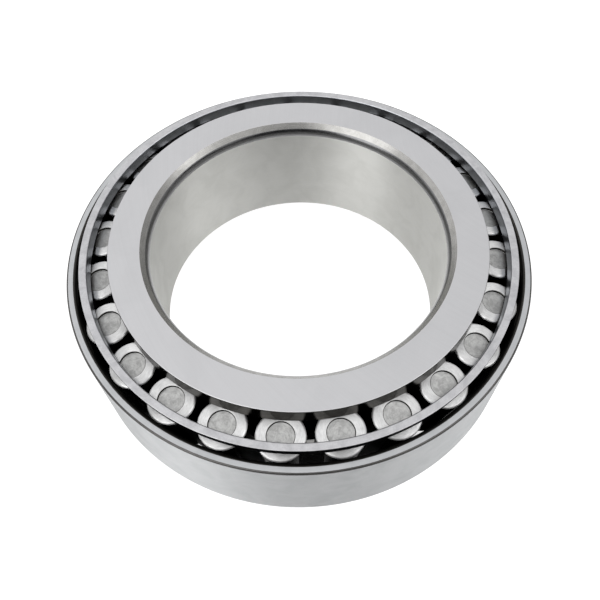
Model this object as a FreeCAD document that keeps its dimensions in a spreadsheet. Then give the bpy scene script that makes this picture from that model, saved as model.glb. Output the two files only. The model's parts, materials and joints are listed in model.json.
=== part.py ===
"""Single-row tapered roller bearing, 70 x 110 x 31 mm, built as a parametric FreeCAD document.

Outer ring (cup), inner ring (cone), pressed cage and 24 tapered rollers. Both raceways and all
rollers are cones that share one apex on the bearing's axis, so that the rollers roll without
sliding. The frame: +Z is the axis, Z = 0 is the outer ring's back face, and the inner ring's
large back face is on top. Lengths are in millimetres and angles in degrees.
"""

import FreeCAD, Part

import math
import os

import Sketcher

# Driving dimensions. Each one can be set by itself.
SIZES = {
    # Widths, and the chain outwards from the bore: raceway and outside at the outer ring's lip
    "bore_diameter": 70.0,
    "bearing_width": 31.0,
    "inner_ring_width": 31.0,
    "outer_ring_width": 25.5,
    "race_depth": 17.54,
    "lip_wall": 2.46,
    "raceway_angle": 10.75,
    # Rollers: the large end's edge touches the outer raceway at roller_setback below the lip
    "roller_count": 24,
    "roller_diameter": 10.6,
    "roller_length": 22.0,
    "roller_setback": 0.44,
    "roller_large_corner": 0.5,
    "roller_small_corner": 0.5,
    "end_sphere_radius": 250.0,
    "recess_diameter": 5.84,
    "recess_depth": 0.55,
    # Running clearances
    "race_clearance": 0.05,
    "rib_clearance": 0.05,
    "end_play": 0.35,
    # Outer ring corners
    "outer_back_radius": 1.8,
    "outer_lip_radius": 1.1,
    "outer_back_chamfer": 0.5,
    "lead_radius": 1.0,
    # Inner ring: how far each rib stands out from the raceway's end, and the corners
    "big_rib_rise": 2.18,
    "big_rib_edge": 0.25,
    "small_rib_rise": 1.53,
    "small_rib_edge": 0.4,
    "bore_back_chamfer_width": 1.74,
    "bore_back_chamfer_height": 2.0,
    "bore_front_radius": 1.2,
    "undercut_depth": 0.35,
    "undercut_width": 0.7,
    # Cage: the sheet runs outboard of the roller axes, past both ends of the rollers
    "cage_offset": 1.81,
    "cage_thickness": 1.8,
    "rim_rise": 2.65,
    "flange_drop": 3.06,
    "flange_clearance": 1.45,
    "cage_bend_radius": 1.0,
    "window_side_clearance": 0.15,
    "window_end_clearance": 0.3,
}

# Geometry that follows from the driving dimensions, in the order in which it is worked out.
DERIVED = {
    "lip_race_radius": "Sizes.bore_diameter / 2 + Sizes.race_depth",
    "outer_radius": "Derived.lip_race_radius + Sizes.lip_wall",
    "apex_depth": "Derived.lip_race_radius / tan(Sizes.raceway_angle) - Sizes.outer_ring_width",
    "contact_distance": ("(Sizes.outer_ring_width - Sizes.roller_setback + Derived.apex_depth)"
                         " / cos(Sizes.raceway_angle)"),
    "half_angle": "asin(Sizes.roller_diameter / 2 / Derived.contact_distance) / 1 deg",
    "tilt": "Sizes.raceway_angle - Derived.half_angle",
    "inner_angle": "Sizes.raceway_angle - 2 * Derived.half_angle",
    "large_end": "Derived.contact_distance * cos(Derived.half_angle)",
    "small_end": "Derived.large_end - Sizes.roller_length",
    "inner_ring_bottom": "Sizes.bearing_width - Sizes.inner_ring_width",
}

# Distance from the apex, along a roller's axis, of the rib face beside each of its ends.
SMALL_FACE = "Derived.small_end - Sizes.end_play"
BIG_FACE = "Derived.large_end + Sizes.rib_clearance"


def outer_race(height):
    """Return the outer raceway's radius at a height."""
    return (f"(({height}) + Derived.apex_depth) * tan(Sizes.raceway_angle)"
            " + Sizes.race_clearance / cos(Sizes.raceway_angle)")


def inner_race(height):
    """Return the inner raceway's radius at a height."""
    return (f"(({height}) + Derived.apex_depth) * tan(Derived.inner_angle)"
            " - Sizes.race_clearance / cos(Derived.inner_angle)")


def rib_height(distance, radius):
    """Return the height, at a radius, of the plane square to a roller at a distance from the apex."""
    return f"(({distance}) - ({radius}) * sin(Derived.tilt)) / cos(Derived.tilt) - Derived.apex_depth"


def race_corner_height(distance):
    """Return the height where the inner raceway meets the plane of rib_height."""
    rise = f"(({distance}) + Sizes.race_clearance * sin(Derived.tilt) / cos(Derived.inner_angle))"
    return f"{rise} / (cos(Derived.tilt) + sin(Derived.tilt) * tan(Derived.inner_angle)) - Derived.apex_depth"


def small_rib_radius():
    """Return the radius of the inner ring's small rib, which the cage's flange runs round."""
    return f"({inner_race(race_corner_height(SMALL_FACE))} + Sizes.small_rib_rise)"


def roller_radius(distance):
    """Return a roller's radius at a distance from the apex."""
    return f"({distance}) * tan(Derived.half_angle)"


def end_face(radius):
    """Return the distance from the apex of a roller's slightly spherical large end, at a radius."""
    return (f"Derived.large_end - Sizes.end_sphere_radius"
            f" + sqrt(Sizes.end_sphere_radius^2 - ({radius})^2)")


def add_sizes(doc):
    """Put the driving dimensions into the sheet Sizes, one cell each."""
    sheet = doc.addObject("Spreadsheet::Sheet", "Sizes")
    for row, (alias, value) in enumerate(SIZES.items(), start=1):
        cell = f"A{row}"
        sheet.set(cell, str(value))
        sheet.setAlias(cell, alias)
    doc.recompute()
    return sheet


def add_derived(doc):
    """Put the derived geometry into the variable set Derived, each value bound to its formula."""
    derived = doc.addObject("App::VarSet", "Derived")
    for name, formula in DERIVED.items():
        derived.addProperty("App::PropertyFloat", name, "Geometry")
        derived.setExpression(name, formula)
        doc.recompute()
    return derived


def number(body, formula):
    """Return the present value of a formula."""
    return float(body.evalExpression(formula))


def origin_feature(body, role):
    """Return a plane or an axis of a body's own origin."""
    return next(feature for feature in body.Origin.OriginFeatures if feature.Role == role)


def arc_between(start, end, radius, turn):
    """Return the short arc from start to end. A turn of 1 bends left, and -1 bends right."""
    chord = end - start
    rise = math.sqrt(max(radius ** 2 - (chord.Length / 2) ** 2, 0.0))
    side = FreeCAD.Vector(-chord.y, chord.x, 0).normalize() * turn
    centre = (start + end) / 2 + side * rise
    angles = [math.atan2(point.y - centre.y, point.x - centre.x) for point in (start, end)]
    if turn < 0:
        angles.reverse()
    circle = Part.Circle(centre, FreeCAD.Vector(0, 0, 1), radius)
    return Part.ArcOfCircle(circle, angles[0], angles[1])


def draw_outline(body, name, outline):
    """Draw a closed outline on the body's XZ plane, with every corner bound to its formulas.

    Each step of the outline is (radius, height), or (radius, height, bend radius, turn) where an
    arc leads to that corner.
    """
    sketch = body.newObject("Sketcher::SketchObject", name)
    sketch.AttachmentSupport = [(origin_feature(body, "XZ_Plane"), "")]
    sketch.MapMode = "FlatFace"
    corners = [FreeCAD.Vector(number(body, step[0]), number(body, step[1]), 0) for step in outline]
    ends = []
    for index, step in enumerate(outline):
        start, end = corners[index - 1], corners[index]
        if len(step) == 2:
            edge = sketch.addGeometry(Part.LineSegment(start, end), False)
            ends.append((edge, 1, 2))
            continue
        arc = arc_between(start, end, number(body, step[2]), step[3])
        edge = sketch.addGeometry(arc, False)
        ends.append((edge, 1, 2) if step[3] > 0 else (edge, 2, 1))
        bend = sketch.addConstraint(Sketcher.Constraint("Radius", edge, number(body, step[2])))
        sketch.setExpression(f"Constraints[{bend}]", step[2])
    for index, step in enumerate(outline):
        edge, first, last = ends[index]
        following = ends[(index + 1) % len(ends)]
        sketch.addConstraint(Sketcher.Constraint("Coincident", edge, last, following[0], following[1]))
        for kind, formula, value in (("DistanceX", step[0], corners[index].x),
                                     ("DistanceY", step[1], corners[index].y)):
            place = sketch.addConstraint(Sketcher.Constraint(kind, -1, 1, edge, last, value))
            sketch.setExpression(f"Constraints[{place}]", formula)
    return sketch


def revolve(body, name, outline):
    """Turn an outline into a solid of revolution about the body's Z axis."""
    sketch = draw_outline(body, name + "_profile", outline)
    solid = body.newObject("PartDesign::Revolution", name + "_revolution")
    solid.Profile = sketch
    solid.ReferenceAxis = (sketch, ["V_Axis"])
    solid.Angle = 360
    body.Tip = solid
    return solid


def new_body(doc, label):
    """Add an empty body whose label names its piece."""
    body = doc.addObject("PartDesign::Body", label)
    body.Label = label
    return body


def make_outer_ring(doc):
    """Make the cup: ground outside, conical raceway, rounded lead at the lip."""
    body = new_body(doc, "outer_ring")
    outside = "Derived.outer_radius"
    lip = "Sizes.outer_ring_width"
    lead_run = "(Sizes.lead_radius * tan((90 - Sizes.raceway_angle) / 2))"
    lead_foot = f"{lip} - {lead_run} * cos(Sizes.raceway_angle)"
    revolve(body, "cup", [
        (outer_race("Sizes.outer_back_chamfer"), "Sizes.outer_back_chamfer"),
        (f"{outer_race('0')} + Sizes.outer_back_chamfer", "0"),
        (f"{outside} - Sizes.outer_back_radius", "0"),
        (outside, "Sizes.outer_back_radius", "Sizes.outer_back_radius", 1),
        (outside, f"{lip} - Sizes.outer_lip_radius"),
        (f"{outside} - Sizes.outer_lip_radius", lip, "Sizes.outer_lip_radius", 1),
        (f"{outer_race(lip)} + {lead_run}", lip),
        (outer_race(lead_foot), lead_foot, "Sizes.lead_radius", 1),
    ])
    return body


def make_inner_ring(doc):
    """Make the cone: bore, raceway between two ribs, a grinding undercut beside each rib."""
    body = new_body(doc, "inner_ring")
    bore = "Sizes.bore_diameter / 2"
    bottom = "Derived.inner_ring_bottom"
    top = "Sizes.bearing_width"
    depth = "Sizes.undercut_depth"
    width = "Sizes.undercut_width"
    slope = "tan(Derived.inner_angle)"
    rib_slope = "tan(Derived.tilt)"
    low = race_corner_height(SMALL_FACE)
    high = race_corner_height(BIG_FACE)
    low_radius = inner_race(low)
    high_radius = inner_race(high)
    small_rib = small_rib_radius()
    big_rib = f"({high_radius} + Sizes.big_rib_rise)"
    revolve(body, "cone", [
        (bore, f"{bottom} + Sizes.bore_front_radius"),
        (f"{bore} + Sizes.bore_front_radius", bottom, "Sizes.bore_front_radius", 1),
        (f"{small_rib} - Sizes.small_rib_edge", bottom),
        (small_rib, f"{bottom} + Sizes.small_rib_edge", "Sizes.small_rib_edge", 1),
        (small_rib, rib_height(SMALL_FACE, small_rib)),
        (f"{low_radius} - {depth}", f"{low} + {depth} * {rib_slope}"),
        (f"{low_radius} - {depth} + {width} * {slope}", f"{low} + {width}"),
        (f"{low_radius} + ({width} + {depth}) * {slope}", f"{low} + {width} + {depth}"),
        (f"{high_radius} - ({width} + {depth}) * {slope}", f"{high} - {width} - {depth}"),
        (f"{high_radius} - {depth} - {width} * {slope}", f"{high} - {width}"),
        (f"{high_radius} - {depth}", f"{high} + {depth} * {rib_slope}"),
        (big_rib, rib_height(BIG_FACE, big_rib)),
        (big_rib, f"{top} - Sizes.big_rib_edge"),
        (f"{big_rib} - Sizes.big_rib_edge", top, "Sizes.big_rib_edge", 1),
        (f"{bore} + Sizes.bore_back_chamfer_width", top),
        (bore, f"{top} - Sizes.bore_back_chamfer_height"),
    ])
    return body


def cut_windows(body):
    """Cut one window for each roller: the roller's own cone, grown by the window clearances."""
    grown = "Sizes.window_side_clearance / cos(Derived.half_angle)"
    outline = []
    for distance, grows in (("(Derived.small_end - Sizes.window_end_clearance)", False),
                            ("(Derived.small_end - Sizes.window_end_clearance)", True),
                            ("(Derived.large_end + Sizes.window_end_clearance)", True),
                            ("(Derived.large_end + Sizes.window_end_clearance)", False)):
        reach = f"({roller_radius(distance)} + {grown})" if grows else "0"
        outline.append((f"{distance} * sin(Derived.tilt) + {reach} * cos(Derived.tilt)",
                        f"{distance} * cos(Derived.tilt) - {reach} * sin(Derived.tilt)"
                        " - Derived.apex_depth"))
    sketch = draw_outline(body, "window_profile", outline)
    window = body.newObject("PartDesign::Groove", "window")
    window.Profile = sketch
    window.ReferenceAxis = (sketch, ["Edge1"])
    window.Angle = 360
    windows = body.newObject("PartDesign::PolarPattern", "windows")
    windows.Originals = [window]
    windows.Axis = (origin_feature(body, "Z_Axis"), [""])
    windows.Angle = 360
    windows.setExpression("Occurrences", "Sizes.roller_count")
    body.Tip = windows


def make_cage(doc):
    """Make the pressed cage: a conical sheet parallel to the rollers, with a flange at its foot."""
    body = new_body(doc, "cage")
    thickness = "Sizes.cage_thickness"
    top = "(Derived.large_end * cos(Derived.tilt) - Derived.apex_depth + Sizes.rim_rise)"
    bottom = "(Derived.small_end * cos(Derived.tilt) - Derived.apex_depth - Sizes.flange_drop)"
    floor = f"({bottom} + {thickness})"
    flange = f"{small_rib_radius()} + Sizes.flange_clearance"
    inner_bend = "Sizes.cage_bend_radius"
    outer_bend = f"({inner_bend} + {thickness})"
    half_turn = "tan((90 - Derived.tilt) / 2)"

    def inside(height):
        return (f"(({height} + Derived.apex_depth) * tan(Derived.tilt)"
                " + Sizes.cage_offset / cos(Derived.tilt))")

    def outside(height):
        return f"({inside(height)} + {thickness} / cos(Derived.tilt))"

    sheet = revolve(body, "cage_sheet", [
        (inside(top), top),
        (f"{inside(floor)} + {inner_bend} * {half_turn} * sin(Derived.tilt)",
         f"{floor} + {inner_bend} * {half_turn} * cos(Derived.tilt)"),
        (f"{inside(floor)} - {inner_bend} * {half_turn}", floor, inner_bend, -1),
        (flange, floor),
        (flange, bottom),
        (f"{outside(bottom)} - {outer_bend} * {half_turn}", bottom),
        (f"{outside(bottom)} + {outer_bend} * {half_turn} * sin(Derived.tilt)",
         f"{bottom} + {outer_bend} * {half_turn} * cos(Derived.tilt)", outer_bend, 1),
        (outside(top), top),
    ])
    doc.recompute()
    whole = sheet.Shape.Volume
    cut_windows(body)
    doc.recompute()
    if body.Shape.Volume > 0.9 * whole:
        raise RuntimeError("the windows cut too little out of the cage")
    return body


def make_roller(doc, index):
    """Make one tapered roller about its own axis, then tilt it into its place round the bearing.

    The body's own origin is the apex that the raceways share.
    """
    body = new_body(doc, f"roller_{index + 1:02d}")
    face_edge = "(Sizes.roller_diameter / 2 - Sizes.roller_large_corner)"
    large_side = "Derived.large_end - Sizes.roller_large_corner"
    small_side = "Derived.small_end + Sizes.roller_small_corner"
    recess = "Sizes.recess_diameter / 2"
    recess_floor = "Derived.large_end - Sizes.recess_depth"
    revolve(body, f"roller_{index + 1:02d}", [
        ("0", "Derived.small_end"),
        (f"{roller_radius('Derived.small_end')} - Sizes.roller_small_corner", "Derived.small_end"),
        (roller_radius(small_side), small_side, "Sizes.roller_small_corner", 1),
        (roller_radius(large_side), large_side),
        (face_edge, end_face(face_edge), "Sizes.roller_large_corner", 1),
        (recess, end_face(recess), "Sizes.end_sphere_radius", 1),
        (recess, recess_floor),
        ("0", recess_floor),
    ])
    body.setExpression("Placement", "placement(vector(0; 0; -Derived.apex_depth);"
                       f" rotation({index} * 360 / Sizes.roller_count; Derived.tilt; 0))")
    return body


def check(doc, bodies):
    """Stop if any object failed to recompute, or any piece isn't one valid solid."""
    for item in doc.Objects:
        if "Invalid" in item.State or "Error" in item.State:
            raise RuntimeError(f"{item.Label} failed: {item.State}")
    for body in bodies:
        shape = body.Shape
        if shape.isNull() or not shape.isValid() or len(shape.Solids) != 1:
            raise RuntimeError(f"{body.Label} isn't one valid solid")


def export(bodies):
    """Write each piece to parts/NODE.step and print its volume."""
    os.makedirs("parts", exist_ok=True)
    for body in bodies:
        body.Shape.exportStep(f"parts/{body.Label}.step")
        print(f"{body.Label}: {body.Shape.Volume:.1f} mm3")


def main():
    """Build the bearing and write its pieces."""
    doc = FreeCAD.newDocument("tapered_roller_bearing")
    sheet = add_sizes(doc)
    add_derived(doc)
    bodies = [make_outer_ring(doc), make_inner_ring(doc), make_cage(doc)]
    bodies += [make_roller(doc, index) for index in range(int(sheet.roller_count))]
    doc.recompute()
    check(doc, bodies)
    export(bodies)


main()
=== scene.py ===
"""Looks of a single-row tapered roller bearing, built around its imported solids.

The bearing is bright machined steel throughout: an outer ring (the cup) and an inner ring (the
cone) of ground bearing steel, ground tapered rollers, and a cage pressed from steel sheet. Each
piece is turned from its own section, so that its curved faces are true, and stands for the solid
of the same part. Lengths are in metres, and MM turns a drawing's millimetres into them.
"""

from __future__ import annotations

import json
import logging
import math
import random
from dataclasses import dataclass, field
from enum import Enum

import bmesh
import bpy
from mathutils import Matrix, Vector

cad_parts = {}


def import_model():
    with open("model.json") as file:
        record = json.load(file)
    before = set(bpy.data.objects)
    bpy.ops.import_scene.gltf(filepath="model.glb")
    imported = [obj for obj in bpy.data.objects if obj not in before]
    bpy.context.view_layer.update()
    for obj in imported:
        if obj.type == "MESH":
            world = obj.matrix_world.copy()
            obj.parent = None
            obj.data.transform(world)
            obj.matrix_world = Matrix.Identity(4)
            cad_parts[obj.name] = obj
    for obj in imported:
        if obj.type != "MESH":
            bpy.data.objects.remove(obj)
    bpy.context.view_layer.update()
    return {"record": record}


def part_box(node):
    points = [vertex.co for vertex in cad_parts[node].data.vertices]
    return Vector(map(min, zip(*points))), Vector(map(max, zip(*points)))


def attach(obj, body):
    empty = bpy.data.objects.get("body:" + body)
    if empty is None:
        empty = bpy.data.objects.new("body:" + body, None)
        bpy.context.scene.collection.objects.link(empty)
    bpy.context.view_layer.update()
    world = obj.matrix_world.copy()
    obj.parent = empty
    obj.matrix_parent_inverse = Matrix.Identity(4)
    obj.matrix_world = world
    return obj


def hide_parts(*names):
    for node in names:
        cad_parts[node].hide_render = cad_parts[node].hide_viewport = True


LOG = logging.getLogger("bearing")
MM = 0.001
SAME_PLACE = 0.004 * MM
SEED = 33014
OWN_PLACE = "own_place"
WAY_ROUND = "way_round"
QUARTER_TURN = 0.25


# ---------------------------------------------------------------------------------------------
# Small helpers
# ---------------------------------------------------------------------------------------------


def linear(hex_colour: str) -> tuple[float, float, float, float]:
    """Turn an sRGB hex colour into the linear RGBA that a shader takes.

    Args:
        hex_colour: Six hex digits, such as "C6C6C8".

    Returns:
        Red, green, blue and an alpha of 1.
    """
    channels = [int(hex_colour[start:start + 2], 16) / 255 for start in (0, 2, 4)]
    red, green, blue = (
        value / 12.92 if value <= 0.04045 else ((value + 0.055) / 1.055) ** 2.4
        for value in channels
    )
    return red, green, blue, 1.0


def add_node(
    tree: bpy.types.NodeTree,
    kind: str,
    settings: dict[str, object] | None = None,
    inputs: dict[str | int, object] | None = None,
) -> bpy.types.Node:
    """Add a shader node, set it up and link its inputs.

    Args:
        tree: The node tree that gets the node.
        kind: The node's type, such as "ShaderNodeBump".
        settings: Properties of the node itself.
        inputs: Socket values, by name or number. A socket of another node is linked instead.

    Returns:
        The new node.
    """
    node = tree.nodes.new(kind)
    for name, value in (settings or {}).items():
        setattr(node, name, value)
    for name, value in (inputs or {}).items():
        if isinstance(value, bpy.types.NodeSocket):
            tree.links.new(value, node.inputs[name])
        else:
            node.inputs[name].default_value = value
    return node


class Stretch(Enum):
    """The kinds of surface that a turned piece shows along its section."""

    FACE = "face"
    SEAT = "seat"
    RACEWAY = "raceway"
    RIB = "rib"
    EDGE = "edge"
    # SCALE also carries painted shadow, round the rollers' recesses
    SCALE = "scale"
    CORNER = "corner"
    RECESS = "recess"
    SHEET = "sheet"
    LINING = "lining"


@dataclass(frozen=True)
class Corner:
    """One corner of a turned piece's section.

    Attributes:
        radius: Distance from the piece's axis.
        height: Place along the axis.
        stretch: The surface that leads from this corner to the next one.
        rounding: Radius of the rounding at this corner, or 0 where it stays sharp.
        rounded: The surface of the rounding itself, where it isn't that of its neighbours.
    """

    radius: float
    height: float
    stretch: Stretch
    rounding: float = 0.0
    rounded: Stretch | None = None


@dataclass
class Turning:
    """A solid of revolution about Z, spun from a closed section.

    Attributes:
        corners: The section, anticlockwise with the axis on its left.
        steps: How many facets go round the axis.
        finishes: The material of each kind of surface.
        rounding_steps: How many facets go round each rounded corner.
    """

    corners: list[Corner]
    steps: int
    finishes: dict[Stretch, bpy.types.Material]
    rounding_steps: int = 6

    def build(self, own_turn: float = 0.0) -> bmesh.types.BMesh:
        """Spin the section, finish each stretch and round the corners.

        Each vertex keeps its place in the piece's own frame and the way round the piece's axis,
        for the finishes that follow the piece wherever it lies.

        Args:
            own_turn: Turn of the piece's own pattern about its axis.

        Returns:
            The closed solid as a bmesh.
        """
        work = bmesh.new()
        points = [work.verts.new((corner.radius, 0.0, corner.height)) for corner in self.corners]
        edges = [work.edges.new((points[index - 1], points[index])) for index in range(len(points))]
        bmesh.ops.spin(
            work, geom=points + edges, cent=(0, 0, 0), axis=(0, 0, 1), angle=2 * math.pi,
            steps=self.steps, use_merge=True, use_duplicate=False,
        )
        bmesh.ops.remove_doubles(work, verts=work.verts, dist=SAME_PLACE)
        bmesh.ops.recalc_face_normals(work, faces=work.faces)
        self._finish_stretches(work)
        for index, corner in enumerate(self.corners):
            if corner.rounding > 0:
                self._round(work, index)
        for face in work.faces:
            face.smooth = True
        self._mark_places(work, own_turn)
        return work

    def _mark_places(self, work: bmesh.types.BMesh, own_turn: float) -> None:
        """Store each vertex's own place and the way round the axis there."""
        own_place = work.verts.layers.float_vector.new(OWN_PLACE)
        way_round = work.verts.layers.float_vector.new(WAY_ROUND)
        turn = Matrix.Rotation(own_turn, 3, "Z")
        middle = Vector((0, 0, self.corners[0].height))
        for vertex in work.verts:
            vertex[own_place] = turn @ (vertex.co - middle)
            vertex[way_round] = Vector((-vertex.co.y, vertex.co.x, 0)).normalized()

    def _finish_stretches(self, work: bmesh.types.BMesh) -> None:
        """Give each face the material of the stretch that it was spun from."""
        order = list(self.finishes)
        spans = [(corner, self.corners[(index + 1) % len(self.corners)])
                 for index, corner in enumerate(self.corners)]
        for face in work.faces:
            places = [vertex.co for vertex in face.verts]
            for start, end in spans:
                if all(self._on_ring(place, start) or self._on_ring(place, end) for place in places):
                    face.material_index = order.index(start.stretch)
                    break

    def _tangent_length(self, index: int) -> float:
        """Return how far from a corner its rounding starts, on either side."""
        here, before, after = (
            Vector((corner.radius, corner.height))
            for corner in (self.corners[index], self.corners[index - 1],
                           self.corners[(index + 1) % len(self.corners)])
        )
        inner_angle = (before - here).angle(after - here)
        return self.corners[index].rounding / math.tan(inner_angle / 2)

    def _round(self, work: bmesh.types.BMesh, index: int) -> None:
        """Round one corner all the way round the piece."""
        corner = self.corners[index]
        edges = [edge for edge in work.edges
                 if all(self._on_ring(vertex.co, corner) for vertex in edge.verts)]
        made = bmesh.ops.bevel(
            work, geom=edges, offset=self._tangent_length(index), offset_type="OFFSET", affect="EDGES",
            segments=self.rounding_steps, profile=0.5, material=-1, clamp_overlap=True,
        )
        if corner.rounded:
            for face in made["faces"]:
                face.material_index = list(self.finishes).index(corner.rounded)

    @staticmethod
    def _on_ring(place: Vector, corner: Corner) -> bool:
        """Say whether a vertex lies on the ring that a corner was spun into."""
        off_radius = math.hypot(place.x, place.y) - corner.radius
        return math.hypot(off_radius, place.z - corner.height) < SAME_PLACE


def finished_piece(
    work: bmesh.types.BMesh,
    name: str,
    materials: list[bpy.types.Material],
    sharp_angle: float = math.radians(32),
) -> bpy.types.Object:
    """Turn a bmesh into an object at the origin, smooth but for its sharp edges.

    Args:
        work: The mesh, in the row's frame. It is freed.
        name: The piece's name.
        materials: Its materials, in the order of the faces' material numbers.
        sharp_angle: Edges that turn more than this stay crisp.

    Returns:
        The object, in the scene.
    """
    for edge in work.edges:
        if len(edge.link_faces) == 2 and edge.calc_face_angle(0.0) > sharp_angle:
            edge.smooth = False
    mesh = bpy.data.meshes.new(name)
    work.to_mesh(mesh)
    work.free()
    for material in materials:
        mesh.materials.append(material)
    piece = bpy.data.objects.new(name, mesh)
    bpy.context.scene.collection.objects.link(piece)
    weighted = piece.modifiers.new("even_shading", "WEIGHTED_NORMAL")
    weighted.keep_sharp = True
    return piece


def deliver(piece: bpy.types.Object, body: str, node: str) -> bpy.types.Object:
    """Let a piece ride on its body and stand for its solid, and report it.

    Args:
        piece: The finished piece.
        body: The body that carries it.
        node: The solid that it stands for.

    Returns:
        The same piece.
    """
    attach(piece, body)
    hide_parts(node)
    LOG.info("%s rides on %s, %d faces", piece.name, body, len(piece.data.polygons))
    return piece


# ---------------------------------------------------------------------------------------------
# Finishes
# ---------------------------------------------------------------------------------------------


# Clouds of stain: soft noise, pulled about so that they have no grid
CLOUD_NOISE = {"Detail": 5.0, "Roughness": 0.6, "Distortion": 0.6}
# Tool marks: fine noise, stretched round the axis so far that it wavers over 0.4 mm in a turn
MARK_NOISE = {"Detail": 3.0, "Roughness": 0.6}
MARK_WAVER = 0.4 * MM
MARK_HEIGHT = 0.05 * MM
# Middle of the arcs that a surface grinder's cup wheel leaves
WHEEL_MIDDLE = (70 * MM, 40 * MM, 0.0)
# Noise values between which a stain goes from none to its most, and the gloss with it
SHADE_RANGE = (0.35, 0.7)
GLOSS_RANGE = (0.3, 0.7)


class Grain(Enum):
    """Which way the tool's marks run on a surface."""

    ROUND = "round"
    ARC = "arc"
    CLOUD = "cloud"


@dataclass(frozen=True)
class SteelFinish:
    """Bare bearing steel with one surface finish.

    Attributes:
        name: The material's name.
        colour: The steel's reflectance, as sRGB hex.
        shade: The colour where it is stained or worn duller.
        roughness: Roughness of the clean surface.
        roughness_spread: How much the roughness varies from place to place.
        stain_size: Width of a stain or cloud, in metres.
        stain_share: How much of the shade shows in the stains.
        grain: Which way the tool's marks run.
        grain_width: Spacing of the marks, in metres. Real marks are some 0.02 mm apart, too fine
            to show, so they are drawn several times as coarse.
        grain_depth: Strength of the marks in the bump.
        grain_share: How much of the shade shows in the marks.
        anisotropy: How far reflections stretch across the marks.
        glance: Tint of what it mirrors at a glancing angle, as sRGB hex. A dark tint is painted shade
            that keeps a shaded finish dark at a glance.
    """

    name: str
    colour: str
    shade: str
    roughness: float
    roughness_spread: float = 0.03
    stain_size: float = 8 * MM
    stain_share: float = 0.3
    grain: Grain = Grain.ROUND
    grain_width: float = 0.3 * MM
    grain_depth: float = 0.1
    grain_share: float = 0.3
    anisotropy: float = 0.0
    glance: str = "FFFFFF"

    def material(self) -> bpy.types.Material:
        """Build the node material.

        Returns:
            The material.
        """
        material = bpy.data.materials.new(self.name)
        material.use_nodes = True
        tree = material.node_tree
        tree.nodes.clear()
        place = add_node(tree, "ShaderNodeAttribute", {"attribute_name": OWN_PLACE}).outputs["Vector"]
        clouds = add_node(tree, "ShaderNodeTexNoise", {"noise_dimensions": "3D"}, {
            "Vector": place, "Scale": 1 / self.stain_size, **CLOUD_NOISE,
        }).outputs["Fac"]
        marks = self._marks(tree, place)
        stains = self._share(tree, clouds, self.stain_share)
        streaks = self._share(tree, marks, self.grain_share)
        stained = add_node(tree, "ShaderNodeMix", {"data_type": "RGBA"}, {
            0: stains, 6: linear(self.colour), 7: linear(self.shade),
        }).outputs[2]
        tint = add_node(tree, "ShaderNodeMix", {"data_type": "RGBA"}, {
            0: streaks, 6: stained, 7: linear(self.shade),
        }).outputs[2]
        gloss = add_node(tree, "ShaderNodeMapRange", {}, {
            "Value": clouds, "From Min": GLOSS_RANGE[0], "From Max": GLOSS_RANGE[1],
            "To Min": self.roughness - self.roughness_spread,
            "To Max": self.roughness + self.roughness_spread,
        }).outputs["Result"]
        bump = add_node(tree, "ShaderNodeBump", {}, {
            "Strength": self.grain_depth, "Distance": MARK_HEIGHT, "Height": marks,
        }).outputs["Normal"]
        shader = add_node(tree, "ShaderNodeBsdfPrincipled", {}, {
            "Base Color": tint, "Metallic": 1.0, "Roughness": gloss, "Normal": bump,
            "Anisotropic": self.anisotropy, "Anisotropic Rotation": QUARTER_TURN,
            "Specular Tint": linear(self.glance),
        })
        if self.anisotropy:
            tree.links.new(self._way_round(tree), shader.inputs["Tangent"])
        output = add_node(tree, "ShaderNodeOutputMaterial")
        tree.links.new(shader.outputs["BSDF"], output.inputs["Surface"])
        return material

    @staticmethod
    def _share(tree: bpy.types.NodeTree, pattern: bpy.types.NodeSocket,
               most: float) -> bpy.types.NodeSocket:
        """Turn a noise into a share of the shade, from none to the most given."""
        return add_node(tree, "ShaderNodeMapRange", {"interpolation_type": "SMOOTHSTEP"}, {
            "Value": pattern, "From Min": SHADE_RANGE[0], "From Max": SHADE_RANGE[1],
            "To Min": 0.0, "To Max": most,
        }).outputs["Result"]

    @staticmethod
    def _round_axis(tree: bpy.types.NodeTree, place: bpy.types.NodeSocket) -> bpy.types.NodeSocket:
        """Return coordinates that run along the section, and hardly change round the axis."""
        split = add_node(tree, "ShaderNodeSeparateXYZ", {}, {"Vector": place})
        across = add_node(tree, "ShaderNodeCombineXYZ", {}, {
            "X": split.outputs["X"], "Y": split.outputs["Y"],
        }).outputs["Vector"]
        radius = add_node(tree, "ShaderNodeVectorMath", {"operation": "LENGTH"}, {0: across})
        bearing = add_node(tree, "ShaderNodeVectorMath", {"operation": "NORMALIZE"}, {0: across})
        slow = add_node(tree, "ShaderNodeVectorMath", {"operation": "SCALE"}, {
            0: bearing.outputs["Vector"], "Scale": MARK_WAVER,
        }).outputs["Vector"]
        run = add_node(tree, "ShaderNodeMath", {"operation": "ADD"}, {
            0: radius.outputs["Value"], 1: split.outputs["Z"],
        }).outputs["Value"]
        section = add_node(tree, "ShaderNodeCombineXYZ", {}, {"Z": run}).outputs["Vector"]
        return add_node(tree, "ShaderNodeVectorMath", {"operation": "ADD"}, {
            0: section, 1: slow,
        }).outputs["Vector"]

    def _marks(self, tree: bpy.types.NodeTree, place: bpy.types.NodeSocket) -> bpy.types.NodeSocket:
        """Return the height of the tool's marks."""
        if self.grain is Grain.ROUND:
            place = self._round_axis(tree, place)
        elif self.grain is Grain.ARC:
            wheel = add_node(tree, "ShaderNodeVectorMath", {"operation": "SUBTRACT"}, {
                0: place, 1: WHEEL_MIDDLE,
            }).outputs["Vector"]
            place = self._round_axis(tree, wheel)
        return add_node(tree, "ShaderNodeTexNoise", {"noise_dimensions": "3D"}, {
            "Vector": place, "Scale": 1 / self.grain_width, **MARK_NOISE,
        }).outputs["Fac"]

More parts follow.
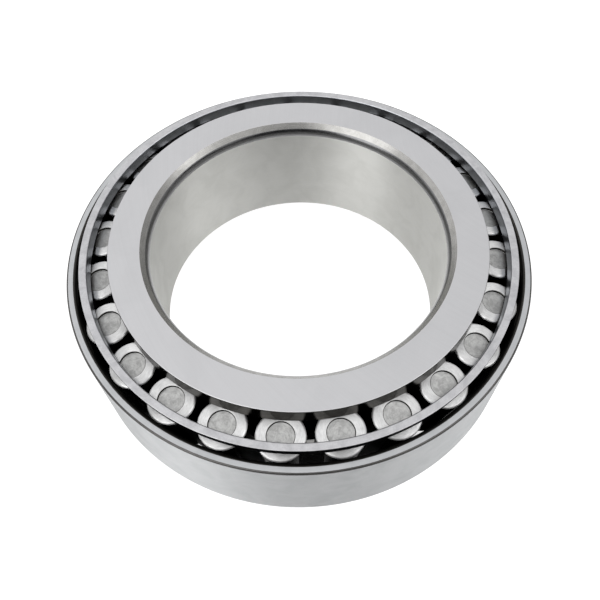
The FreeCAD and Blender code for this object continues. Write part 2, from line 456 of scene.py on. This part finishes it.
    @staticmethod
    def _way_round(tree: bpy.types.NodeTree) -> bpy.types.NodeSocket:
        """Return the way round the piece's axis, in world space."""
        way = add_node(tree, "ShaderNodeAttribute", {"attribute_name": WAY_ROUND}).outputs["Vector"]
        return add_node(tree, "ShaderNodeVectorTransform", {
            "vector_type": "VECTOR", "convert_from": "OBJECT", "convert_to": "WORLD",
        }, {"Vector": way}).outputs["Vector"]


@dataclass
class Finishes:
    """Every finish of the bearing, made once and shared by its pieces."""

    # Cone face, surface ground: an even satin grey with the wheel's very fine arcs
    cone_face: SteelFinish = SteelFinish(
        "surface_ground_steel", "B5B5B7", "ABABAD", 0.42, grain=Grain.ARC, grain_width=0.25 * MM,
        grain_depth=0.05, grain_share=0.25, stain_size=14 * MM, stain_share=0.35,
    )
    # Cup faces: ground coarser than the cone's, so a little duller
    cup_face: SteelFinish = SteelFinish(
        "coarse_ground_steel", "B0B1B3", "9DA0A2", 0.44, grain=Grain.ROUND, grain_width=0.2 * MM,
        grain_depth=0.08, grain_share=0.3, stain_size=3 * MM, stain_share=0.3,
    )
    # Lip's outer corner: a thin dark line round the cup, painted dark reflection of the dark opening
    # that the rounding faces
    lip_corner_painted_reflection: SteelFinish = SteelFinish(
        "lip_corner_steel_painted_reflection", "525150", "3E3D3C", 0.24, grain=Grain.CLOUD, grain_width=0.3 * MM,
        grain_depth=0.03, grain_share=0.3, stain_size=3 * MM,
    )
    # Blend under the bore's chamfer, tumbled but never ground: a dull dark band
    corner: SteelFinish = SteelFinish(
        "tumbled_corner_steel", "7C7C7D", "686869", 0.24, grain=Grain.CLOUD, grain_width=0.3 * MM,
        grain_depth=0.03, grain_share=0.3, stain_size=3 * MM,
    )
    # Raceway lead and undercuts: a dark dull scale that no wheel has reached; on the recesses' rims
    # and walls the same dark is painted shadow, the outline round each roller's recess
    scale: SteelFinish = SteelFinish(
        "heat_scale_and_painted_shade_steel", "3A3937", "2A2927", 0.4, grain=Grain.CLOUD, grain_width=0.2 * MM,
        grain_depth=0.1, stain_size=1 * MM, glance="3A3A3A",
    )
    # Sides and faces of the ribs, fine turned, with a dark colour that is painted shade for the
    # shadowed rib side; they mirror the roller ends near them
    rib: SteelFinish = SteelFinish(
        "turned_rib_steel_painted_shade", "575551", "353331", 0.2, grain_width=0.2 * MM, grain_depth=0.06,
        grain_share=0.4, stain_size=2 * MM, stain_share=0.6, glance="CCCCCC",
    )
    # Outside of the cup, cylindrically ground and handled: faint clouds over the fine round marks
    cup_outside: SteelFinish = SteelFinish(
        "handled_ground_steel", "B0B1B2", "9C9E9F", 0.52, grain=Grain.ROUND, grain_width=0.14 * MM,
        grain_depth=0.04, grain_share=0.15, anisotropy=0.92, stain_size=6 * MM, stain_share=0.4,
    )
    # Bore, cylindrically ground: marks run round, so reflections stretch along the axis
    ring_seat: SteelFinish = SteelFinish(
        "cylinder_ground_steel", "C6C6C3", "B0B0AC", 0.56, grain=Grain.ROUND, grain_width=0.12 * MM,
        grain_depth=0.04, grain_share=0.15, anisotropy=0.94, stain_size=7 * MM, stain_share=0.3,
        roughness_spread=0.02,
    )
    # Honed raceways: nearly a mirror, darkened with painted shade for the shadowed gaps between the
    # rollers
    raceway: SteelFinish = SteelFinish(
        "honed_raceway_steel_painted_shade", "58595C", "4C4D50", 0.2, grain_width=0.15 * MM, grain_depth=0.04,
        grain_share=0.2, anisotropy=0.5, glance="3A3A3A",
    )
    # Chamfers and the low rib, turned before hardening: darker, with scale in the tool's rings
    edge: SteelFinish = SteelFinish(
        "turned_edge_steel", "A3A2A0", "858481", 0.26, grain_width=0.18 * MM, grain_depth=0.06,
        grain_share=0.4, anisotropy=0.3, stain_size=2.5 * MM, stain_share=0.5,
    )
    # Roller ends, ground round their middle: each shows a bright bow that turns with the light
    roller_end: SteelFinish = SteelFinish(
        "ground_roller_end_steel", "CECECE", "A0A0A0", 0.38, grain_width=0.09 * MM,
        grain_depth=0.2, grain_share=0.55, anisotropy=0.92, stain_size=1.5 * MM, stain_share=0.2,
    )
    # Roller flanks, superfinished: smooth, darkened with painted shade for the shadowed gaps between
    # the rollers
    roller_flank_painted_shade: SteelFinish = SteelFinish(
        "superfinished_roller_steel_painted_shade", "626365", "565759", 0.2, grain_width=0.12 * MM,
        grain_depth=0.04, grain_share=0.2, anisotropy=0.4, glance="4A4A4A",
    )
    # Recess in a roller's end, left from forging: dull, with faint rings and specks
    roller_recess: SteelFinish = SteelFinish(
        "forged_recess_steel", "AEAEAD", "828281", 0.42, grain_width=0.16 * MM, grain_depth=0.5,
        grain_share=0.5, stain_size=1.2 * MM, stain_share=0.6, roughness_spread=0.08,
    )
    # Cage: cold rolled sheet, a little bluish, near black with painted shade where it lies down among
    # the rollers
    cage_sheet: SteelFinish = SteelFinish(
        "cage_steel_painted_shade", "1E1F21", "161719", 0.42, grain=Grain.CLOUD,
        grain_width=0.4 * MM, grain_depth=0.15, stain_size=3 * MM, stain_share=0.5, glance="2A2A2A",
    )
    # Cage over its windows: the same sheet in its own colour, without the painted shade of the rest
    cage_lining: SteelFinish = SteelFinish(
        "cage_steel_without_painted_shade", "B2B5BA", "8F9297", 0.34, grain=Grain.CLOUD,
        grain_width=0.4 * MM, grain_depth=0.1, stain_size=3 * MM, stain_share=0.5,
    )
    # Cage rim, sheared through to bare steel and tumbled: pale and mottled
    cage_rim: SteelFinish = SteelFinish(
        "sheared_rim_steel", "B9B9BB", "9A9A9D", 0.46, grain=Grain.CLOUD, grain_width=0.35 * MM,
        grain_depth=0.35, grain_share=0.35, stain_size=2.5 * MM, stain_share=0.6,
    )
    made: dict[str, bpy.types.Material] = field(default_factory=dict)

    def get(self, finish: SteelFinish) -> bpy.types.Material:
        """Return a finish's material, made on first use."""
        if finish.name not in self.made:
            self.made[finish.name] = finish.material()
        return self.made[finish.name]


# ---------------------------------------------------------------------------------------------
# Geometry that the rings, the cage and the rollers share
# ---------------------------------------------------------------------------------------------


@dataclass
class ConeGeometry:
    """The cones of the raceways and rollers, which share one apex on the axis.

    Attributes:
        bore_radius: Radius of the cone's bore, from which the section is built outwards.
        cup_width: Width of the cup, whose back face is at height 0.
        race_depth: Distance from the bore to the outer raceway at the cup's lip.
        raceway_angle: Half-angle of the outer raceway.
        roller_radius: Radius of a roller's large end.
        roller_length: Length of a roller.
        roller_setback: How far under the lip the large end's edge meets the outer raceway.
        race_clearance: Running gap between a roller and each raceway.
        rib_clearance: Gap between a roller's large end and its rib.
        end_play: Gap between a roller's small end and its rib.
        big_rib_rise: How far the big rib stands out from the inner raceway's end.
        small_rib_rise: How far the small rib stands out from the inner raceway's end.
        roller_count: How many rollers stand round the axis.
    """

    bore_radius: float
    cup_width: float
    race_depth: float = 17.54 * MM
    raceway_angle: float = math.radians(10.75)
    roller_radius: float = 5.3 * MM
    roller_length: float = 22.0 * MM
    roller_setback: float = 0.44 * MM
    race_clearance: float = 0.05 * MM
    rib_clearance: float = 0.05 * MM
    end_play: float = 0.35 * MM
    big_rib_rise: float = 2.18 * MM
    small_rib_rise: float = 1.53 * MM
    roller_count: int = 24

    @property
    def apex_depth(self) -> float:
        """Depth of the apex under the cup's back face."""
        return (self.bore_radius + self.race_depth) / math.tan(self.raceway_angle) - self.cup_width

    @property
    def contact_distance(self) -> float:
        """Distance from the apex to the large end's edge, along the raceway."""
        edge_height = self.cup_width - self.roller_setback
        return (edge_height + self.apex_depth) / math.cos(self.raceway_angle)

    @property
    def half_angle(self) -> float:
        """A roller's half-angle."""
        return math.asin(self.roller_radius / self.contact_distance)

    @property
    def tilt(self) -> float:
        """Angle between a roller's axis and the bearing's."""
        return self.raceway_angle - self.half_angle

    @property
    def inner_angle(self) -> float:
        """Half-angle of the inner raceway."""
        return self.raceway_angle - 2 * self.half_angle

    @property
    def large_end(self) -> float:
        """Distance from the apex to a roller's large end, along its axis."""
        return self.contact_distance * math.cos(self.half_angle)

    @property
    def small_end(self) -> float:
        """Distance from the apex to a roller's small end."""
        return self.large_end - self.roller_length

    @property
    def big_face(self) -> float:
        """Distance from the apex to the big rib's face."""
        return self.large_end + self.rib_clearance

    @property
    def small_face(self) -> float:
        """Distance from the apex to the small rib's face."""
        return self.small_end - self.end_play

    @property
    def big_rib(self) -> float:
        """Radius of the big rib."""
        return self.race_corner(self.big_face)[0] + self.big_rib_rise

    @property
    def small_rib(self) -> float:
        """Radius of the small rib."""
        return self.race_corner(self.small_face)[0] + self.small_rib_rise

    def outer_race(self, height: float) -> float:
        """Return the outer raceway's radius at a height."""
        opened = self.race_clearance / math.cos(self.raceway_angle)
        return (height + self.apex_depth) * math.tan(self.raceway_angle) + opened

    def inner_race(self, height: float) -> float:
        """Return the inner raceway's radius at a height."""
        opened = self.race_clearance / math.cos(self.inner_angle)
        return (height + self.apex_depth) * math.tan(self.inner_angle) - opened

    def rib_height(self, distance: float, radius: float) -> float:
        """Return the height, at a radius, of the plane square to a roller at a distance."""
        drop = radius * math.sin(self.tilt)
        return (distance - drop) / math.cos(self.tilt) - self.apex_depth

    def race_corner(self, distance: float) -> tuple[float, float]:
        """Return the radius and height where the inner raceway meets that plane."""
        rise = distance + self.race_clearance * math.sin(self.tilt) / math.cos(self.inner_angle)
        fall = math.cos(self.tilt) + math.sin(self.tilt) * math.tan(self.inner_angle)
        height = rise / fall - self.apex_depth
        return self.inner_race(height), height

    def place(self, index: int) -> Matrix:
        """Return the transform from a roller's own frame, with its origin at the apex."""
        turn = Matrix.Rotation(2 * math.pi * index / self.roller_count, 4, "Z")
        lean = Matrix.Rotation(self.tilt, 4, "Y")
        return Matrix.Translation((0, 0, -self.apex_depth)) @ turn @ lean


# ---------------------------------------------------------------------------------------------
# Pieces
# ---------------------------------------------------------------------------------------------


@dataclass
class OuterRing:
    """The cup: ground outside, conical raceway inside, both corners of its lip rounded."""

    cones: ConeGeometry
    finishes: Finishes
    radius: float
    back_radius: float = 1.8 * MM
    lip_radius: float = 0.45 * MM
    back_chamfer: float = 0.5 * MM
    lead_radius: float = 1.0 * MM
    steps: int = 360

    def build(self) -> bpy.types.Object:
        """Turn the ring and deliver it."""
        cones, width = self.cones, self.cones.cup_width
        corners = [
            Corner(cones.outer_race(self.back_chamfer), self.back_chamfer, Stretch.EDGE),
            Corner(cones.outer_race(0) + self.back_chamfer, 0, Stretch.FACE),
            Corner(self.radius, 0, Stretch.SEAT, self.back_radius),
            # The lip's outer rounding takes the painted dark reflection
            Corner(self.radius, width, Stretch.FACE, self.lip_radius, Stretch.CORNER),
            Corner(cones.outer_race(width), width, Stretch.RACEWAY, self.lead_radius, Stretch.SCALE),
        ]
        finishes = {
            Stretch.FACE: self.finishes.get(self.finishes.cup_face),
            Stretch.SEAT: self.finishes.get(self.finishes.cup_outside),
            Stretch.EDGE: self.finishes.get(self.finishes.edge),
            # The raceway's dark finish is painted shade
            Stretch.RACEWAY: self.finishes.get(self.finishes.raceway),
            Stretch.CORNER: self.finishes.get(self.finishes.lip_corner_painted_reflection),
            Stretch.SCALE: self.finishes.get(self.finishes.scale),
        }
        work = Turning(corners, self.steps, finishes).build()
        piece = finished_piece(work, "cup", list(finishes.values()))
        return deliver(piece, "outer_ring", "outer_ring")


@dataclass
class InnerRing:
    """The cone: ground bore, raceway between two ribs, a grinding undercut beside each rib."""

    cones: ConeGeometry
    finishes: Finishes
    bottom: float
    top: float
    big_rib_edge: float = 0.25 * MM
    big_rib_foot: float = 0.15 * MM
    small_rib_edge: float = 0.4 * MM
    chamfer_edge: float = 0.12 * MM
    bore_chamfer_width: float = 1.74 * MM
    bore_chamfer_height: float = 2.0 * MM
    bore_blend_radius: float = 2.8 * MM
    bore_front_radius: float = 1.2 * MM
    undercut_depth: float = 0.35 * MM
    undercut_width: float = 0.7 * MM
    steps: int = 360

    def build(self) -> bpy.types.Object:
        """Turn the ring and deliver it."""
        cones, bore = self.cones, self.cones.bore_radius
        depth, width = self.undercut_depth, self.undercut_width
        slope, rib_slope = math.tan(cones.inner_angle), math.tan(cones.tilt)
        low_radius, low = cones.race_corner(cones.small_face)
        high_radius, high = cones.race_corner(cones.big_face)
        corners = [
            Corner(bore, self.bottom, Stretch.FACE, self.bore_front_radius),
            Corner(cones.small_rib, self.bottom, Stretch.EDGE, self.small_rib_edge),
            Corner(cones.small_rib, cones.rib_height(cones.small_face, cones.small_rib),
                   Stretch.RIB),
            Corner(low_radius - depth, low + depth * rib_slope, Stretch.SCALE),
            Corner(low_radius - depth + width * slope, low + width, Stretch.SCALE),
            Corner(low_radius + (width + depth) * slope, low + width + depth, Stretch.RACEWAY),
            Corner(high_radius - (width + depth) * slope, high - width - depth, Stretch.SCALE),
            Corner(high_radius - depth - width * slope, high - width, Stretch.SCALE),
            Corner(high_radius - depth, high + depth * rib_slope, Stretch.RIB),
            Corner(cones.big_rib, cones.rib_height(cones.big_face, cones.big_rib), Stretch.RIB,
                   self.big_rib_foot),
            Corner(cones.big_rib, self.top, Stretch.FACE, self.big_rib_edge),
            Corner(bore + self.bore_chamfer_width, self.top, Stretch.EDGE, self.chamfer_edge),
            Corner(bore, self.top - self.bore_chamfer_height, Stretch.SEAT, self.bore_blend_radius,
                   Stretch.CORNER),
        ]
        finishes = {
            Stretch.FACE: self.finishes.get(self.finishes.cone_face),
            Stretch.SEAT: self.finishes.get(self.finishes.ring_seat),
            Stretch.EDGE: self.finishes.get(self.finishes.edge),
            # The raceway's dark finish is painted shade
            Stretch.RACEWAY: self.finishes.get(self.finishes.raceway),
            # The ribs' dark finish is painted shade
            Stretch.RIB: self.finishes.get(self.finishes.rib),
            Stretch.SCALE: self.finishes.get(self.finishes.scale),
            Stretch.CORNER: self.finishes.get(self.finishes.corner),
        }
        work = Turning(corners, self.steps, finishes).build()
        piece = finished_piece(work, "cone", list(finishes.values()))
        return deliver(piece, "inner_ring", "inner_ring")


@dataclass
class RollerSet:
    """The tapered rollers, each turned about its own axis and leaned into its place."""

    cones: ConeGeometry
    finishes: Finishes
    large_corner: float = 0.5 * MM
    small_corner: float = 0.5 * MM
    sphere_radius: float = 250 * MM
    recess_radius: float = 2.92 * MM
    recess_depth: float = 0.55 * MM
    recess_rim: float = 0.12 * MM
    recess_foot: float = 0.1 * MM
    steps: int = 96

    def end_face(self, radius: float) -> float:
        """Return how far from the apex the slightly spherical large end is, at a radius."""
        return self.cones.large_end - self.sphere_radius + math.sqrt(self.sphere_radius**2 - radius**2)

    def corners(self) -> list[Corner]:
        """Return a roller's section, with its own axis as Z."""
        cones = self.cones
        rise = math.tan(cones.half_angle)
        face_edge = cones.large_end * rise
        floor = cones.large_end - self.recess_depth
        return [
            Corner(0, cones.small_end, Stretch.FACE),
            Corner(cones.small_end * rise, cones.small_end, Stretch.SEAT, self.small_corner),
            Corner(face_edge, self.end_face(face_edge), Stretch.FACE, self.large_corner,
                   Stretch.FACE),
            # The recess's wall and rim take the dark scale finish as a painted shadow round the recess
            Corner(self.recess_radius, self.end_face(self.recess_radius), Stretch.SCALE,
                   self.recess_rim, Stretch.SCALE),
            Corner(self.recess_radius, floor, Stretch.RECESS, self.recess_foot),
            Corner(0, floor, Stretch.RECESS),
        ]

    def build(self) -> list[bpy.types.Object]:
        """Turn each roller and deliver it."""
        finishes = {
            Stretch.FACE: self.finishes.get(self.finishes.roller_end),
            # The flanks' dark finish is painted shade
            Stretch.SEAT: self.finishes.get(self.finishes.roller_flank_painted_shade),
            Stretch.SCALE: self.finishes.get(self.finishes.scale),
            Stretch.RECESS: self.finishes.get(self.finishes.roller_recess),
        }
        draw = random.Random(SEED)
        pieces = []
        for index in range(self.cones.roller_count):
            turning = Turning(self.corners(), self.steps, finishes)
            work = turning.build(own_turn=draw.uniform(0, 2 * math.pi))
            self._lean(work, self.cones.place(index), draw.uniform(0, 1))
            number = f"{index + 1:02d}"
            piece = finished_piece(work, f"taper_roller_{number}", list(finishes.values()))
            pieces.append(deliver(piece, f"roller_{number}", f"roller_{number}"))
        return pieces

    @staticmethod
    def _lean(work: bmesh.types.BMesh, place: Matrix, spread: float) -> None:
        """Lean a roller into its place, and give its finish a stretch of pattern of its own."""
        own_place = work.verts.layers.float_vector[OWN_PLACE]
        way_round = work.verts.layers.float_vector[WAY_ROUND]
        for vertex in work.verts:
            vertex[own_place] = vertex[own_place] + Vector((0, 0, spread))
            vertex[way_round] = place.to_3x3() @ vertex[way_round]
        bmesh.ops.transform(work, matrix=place, verts=work.verts)


@dataclass
class Cage:
    """The pressed cage: a conical sheet with one window for each roller and a flange at its foot."""

    cones: ConeGeometry
    finishes: Finishes
    offset: float = 1.81 * MM
    thickness: float = 1.8 * MM
    rim_rise: float = 2.65 * MM
    flange_drop: float = 3.06 * MM
    flange_clearance: float = 1.45 * MM
    bend_radius: float = 1.0 * MM
    side_clearance: float = 0.15 * MM
    end_clearance: float = 0.3 * MM
    inner_edge: float = 0.38 * MM
    outer_edge: float = 0.2 * MM
    steps: int = 384
    punch_steps: int = 48

    def inside(self, height: float) -> float:
        """Return the sheet's inner radius at a height."""
        along = (height + self.cones.apex_depth) * math.tan(self.cones.tilt)
        return along + self.offset / math.cos(self.cones.tilt)

    def outside(self, height: float) -> float:
        """Return the sheet's outer radius at a height."""
        return self.inside(height) + self.thickness / math.cos(self.cones.tilt)

    def _sheet(self, finishes: dict[Stretch, bpy.types.Material]) -> bmesh.types.BMesh:
        """Spin the sheet before its windows are pierced."""
        cones = self.cones
        top = cones.large_end * math.cos(cones.tilt) - cones.apex_depth + self.rim_rise
        bottom = cones.small_end * math.cos(cones.tilt) - cones.apex_depth - self.flange_drop
        floor = bottom + self.thickness
        flange = cones.small_rib + self.flange_clearance
        over_windows = top - self.rim_rise + self.end_clearance
        corners = [
            Corner(self.inside(top), top, Stretch.LINING, self.inner_edge),
            Corner(self.inside(over_windows), over_windows, Stretch.SHEET),
            Corner(self.inside(floor), floor, Stretch.SHEET, self.bend_radius),
            Corner(flange, floor, Stretch.SHEET, self.outer_edge),
            Corner(flange, bottom, Stretch.SHEET, self.outer_edge),
            Corner(self.outside(bottom), bottom, Stretch.SHEET, self.bend_radius + self.thickness),
            Corner(self.outside(top), top, Stretch.FACE, self.outer_edge),
        ]
        return Turning(corners, self.steps, finishes, rounding_steps=4).build()

    def _punches(self) -> bpy.types.Object:
        """Make the tapered punches that pierce the windows, as one object."""
        low = self.cones.small_end - self.end_clearance
        high = self.cones.large_end + self.end_clearance
        grown = self.side_clearance / math.cos(self.cones.half_angle)
        work = bmesh.new()
        for index in range(self.cones.roller_count):
            place = self.cones.place(index) @ Matrix.Translation((0, 0, (low + high) / 2))
            bmesh.ops.create_cone(
                work, cap_ends=True, segments=self.punch_steps, depth=high - low, matrix=place,
                radius1=low * math.tan(self.cones.half_angle) + grown,
                radius2=high * math.tan(self.cones.half_angle) + grown,
            )
        mesh = bpy.data.meshes.new("window_punches")
        work.to_mesh(mesh)
        work.free()
        punches = bpy.data.objects.new("window_punches", mesh)
        bpy.context.scene.collection.objects.link(punches)
        return punches

    def build(self) -> bpy.types.Object:
        """Spin the sheet, pierce its windows and deliver it."""
        finishes = {
            # The sheet's near-black finish is painted shade; the lining over the windows keeps the
            # steel's own colour
            Stretch.SHEET: self.finishes.get(self.finishes.cage_sheet),
            Stretch.LINING: self.finishes.get(self.finishes.cage_lining),
            Stretch.FACE: self.finishes.get(self.finishes.cage_rim),
        }
        piece = finished_piece(self._sheet(finishes), "cage_sheet", list(finishes.values()))
        punches = self._punches()
        pierce = piece.modifiers.new("windows", "BOOLEAN")
        pierce.operation = "DIFFERENCE"
        pierce.solver = "EXACT"
        pierce.object = punches
        pierce.material_mode = "INDEX"
        piece.modifiers.move(1, 0)
        shown = piece.evaluated_get(bpy.context.evaluated_depsgraph_get())
        pierced = bpy.data.meshes.new_from_object(shown)
        piece.modifiers.clear()
        piece.data = pierced
        bpy.data.objects.remove(punches)
        work = bmesh.new()
        work.from_mesh(pierced)
        bpy.data.objects.remove(piece)
        piece = finished_piece(work, "cage_shell", list(finishes.values()))
        return deliver(piece, "cage", "cage")


# ---------------------------------------------------------------------------------------------
# Studio
# ---------------------------------------------------------------------------------------------


@dataclass(frozen=True)
class Glow:
    """A part of the tent round the bearing that is brighter or darker than the rest.

    Attributes:
        azimuth: Where its middle is, seen from the bearing, in degrees from +X.
        elevation: Height of its middle over the horizon, in degrees.
        reach: Angle from its middle to where it starts to fade, in degrees.
        fade: Angle over which it fades, in degrees.
        radiance: How bright it is.
    """

    azimuth: float
    elevation: float
    reach: float
    fade: float
    radiance: float

    def mixed(
        self,
        tree: bpy.types.NodeTree,
        way: bpy.types.NodeSocket,
        rest: bpy.types.NodeSocket,
    ) -> bpy.types.NodeSocket:
        """Return the tent's radiance with this glow set into it."""
        azimuth, elevation = math.radians(self.azimuth), math.radians(self.elevation)
        middle = (math.cos(azimuth) * math.cos(elevation), math.sin(azimuth) * math.cos(elevation),
                  math.sin(elevation))
        nearness = add_node(tree, "ShaderNodeVectorMath", {"operation": "DOT_PRODUCT"}, {
            0: way, 1: middle,
        }).outputs["Value"]
        share = add_node(tree, "ShaderNodeMapRange", {"interpolation_type": "SMOOTHSTEP"}, {
            "Value": nearness, "From Min": math.cos(math.radians(self.reach + self.fade)),
            "From Max": math.cos(math.radians(self.reach)),
        }).outputs["Result"]
        return add_node(tree, "ShaderNodeMix", {"data_type": "FLOAT"}, {
            0: share, 2: rest, 3: self.radiance,
        }).outputs[0]


@dataclass
class Studio:
    """A light table, a white tent that is open towards the camera, and the camera."""

    camera_distance: float = 182.56 * MM
    camera_elevation: float = math.radians(58.29)
    camera_turn: float = math.radians(5.615)
    camera_pitch: float = math.radians(58.236)
    camera_yaw: float = math.radians(0.053)
    camera_roll: float = math.radians(-1.491)
    aim_height: float = 1.8 * MM
    lens: float = 40.66
    sensor_width: float = 36.0
    near_clip: float = 5 * MM
    floor_size: float = 4.0
    floor_colour: str = "A8A8A8"
    floor_roughness: float = 0.9
    floor_glow: float = 0.78
    wall_radiance: float = 0.6
    roof_radiance: float = 1.15
    wall_top: float = math.radians(24)
    wall_fade: float = math.radians(8)
    glows: tuple[Glow, ...] = (
        # The lit back wall and the brighter left side
        Glow(121.0, 5.0, 40.0, 26.0, 1.28),
        Glow(-175.0, 48.0, 25.0, 35.0, 1.35),
        # The dark opening in front and its two wings
        Glow(-84.0, -6.0, 38.0, 8.0, 0.02),
        Glow(-148.0, -12.0, 26.0, 8.0, 0.05),
        Glow(-20.0, -12.0, 26.0, 8.0, 0.05),
        # The tall softbox at the left of the opening
        Glow(-132.0, 22.0, 14.0, 5.0, 2.8),
        Glow(-130.0, 47.0, 18.0, 8.0, 2.8),
        # The tall softbox at the right
        Glow(-9.0, 32.0, 10.0, 6.0, 2.5),
        Glow(-16.0, 54.0, 13.0, 8.0, 2.5),
        # The lamp overhead
        Glow(150.0, 84.0, 6.0, 6.0, 1.7),
    )

    def build(self) -> None:
        """Set up the floor, the light and the camera."""
        scene = bpy.context.scene
        scene.view_settings.view_transform = "Standard"
        self._floor()
        self._world(scene)
        self._camera(scene)

    def _floor(self) -> None:
        """Lay a pale light table under the bearing."""
        work = bmesh.new()
        bmesh.ops.create_grid(work, x_segments=1, y_segments=1, size=self.floor_size / 2)
        mesh = bpy.data.meshes.new("floor")
        work.to_mesh(mesh)
        work.free()
        floor = bpy.data.objects.new("floor", mesh)
        bpy.context.scene.collection.objects.link(floor)
        material = bpy.data.materials.new("opal_light_table")
        material.use_nodes = True
        tree = material.node_tree
        tree.nodes.clear()
        shader = add_node(tree, "ShaderNodeBsdfPrincipled", {}, {
            "Base Color": linear(self.floor_colour), "Roughness": self.floor_roughness,
            "Specular IOR Level": 0.0, "Emission Color": linear("FFFFFF"),
            "Emission Strength": self.floor_glow,
        })
        output = add_node(tree, "ShaderNodeOutputMaterial")
        tree.links.new(shader.outputs["BSDF"], output.inputs["Surface"])
        mesh.materials.append(material)

    def _world(self, scene: bpy.types.Scene) -> None:
        """Surround the bearing with the tent's light."""
        world = bpy.data.worlds.new("white_tent")
        world.use_nodes = True
        tree = world.node_tree
        tree.nodes.clear()
        way = add_node(tree, "ShaderNodeTexCoord").outputs["Generated"]
        height = add_node(tree, "ShaderNodeSeparateXYZ", {}, {"Vector": way}).outputs["Z"]
        radiance = add_node(tree, "ShaderNodeMapRange", {"interpolation_type": "SMOOTHSTEP"}, {
            "Value": height, "From Min": math.sin(self.wall_top - self.wall_fade),
            "From Max": math.sin(self.wall_top + self.wall_fade),
            "To Min": self.wall_radiance, "To Max": self.roof_radiance,
        }).outputs["Result"]
        for glow in self.glows:
            radiance = glow.mixed(tree, way, radiance)
        background = add_node(tree, "ShaderNodeBackground", {}, {
            "Color": linear("FFFFFF"), "Strength": radiance,
        })
        output = add_node(tree, "ShaderNodeOutputWorld")
        tree.links.new(background.outputs["Background"], output.inputs["Surface"])
        scene.world = world

    def _camera(self, scene: bpy.types.Scene) -> None:
        """Stand the camera in front of the bearing, looking down at it."""
        lens = bpy.data.cameras.new("camera")
        lens.lens = self.lens
        lens.sensor_width = self.sensor_width
        lens.clip_start = self.near_clip
        camera = bpy.data.objects.new("camera", lens)
        turn = Matrix.Rotation(self.camera_turn, 4, "Z")
        stand = Vector((0, -math.cos(self.camera_elevation), math.sin(self.camera_elevation)))
        place = turn @ (stand * self.camera_distance) + Vector((0, 0, self.aim_height))
        look = (Matrix.Rotation(self.camera_turn - self.camera_yaw, 4, "Z")
                @ Matrix.Rotation(math.pi / 2 - self.camera_pitch, 4, "X")
                @ Matrix.Rotation(self.camera_roll, 4, "Z"))
        camera.matrix_world = Matrix.Translation(place) @ look
        scene.collection.objects.link(camera)
        scene.camera = camera


def main() -> None:
    """Build the bearing's pieces around its solids, and the studio around the bearing."""
    logging.basicConfig(level=logging.INFO, format="%(name)s: %(message)s")
    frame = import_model()
    record = frame["record"]
    mounts = {mount["name"]: mount for mount in record["mounts"]}
    cup_low, cup_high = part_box("outer_ring")
    cone_low, cone_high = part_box("inner_ring")
    cones = ConeGeometry(mounts["shaft_bore"]["dims"]["r_mm"] * MM, cup_high.z - cup_low.z)
    finishes = Finishes()
    OuterRing(cones, finishes, mounts["housing_seat"]["dims"]["r_mm"] * MM).build()
    InnerRing(cones, finishes, cone_low.z, cone_high.z).build()
    Cage(cones, finishes).build()
    RollerSet(cones, finishes).build()
    Studio().build()


if __name__ == "__main__":
    main()
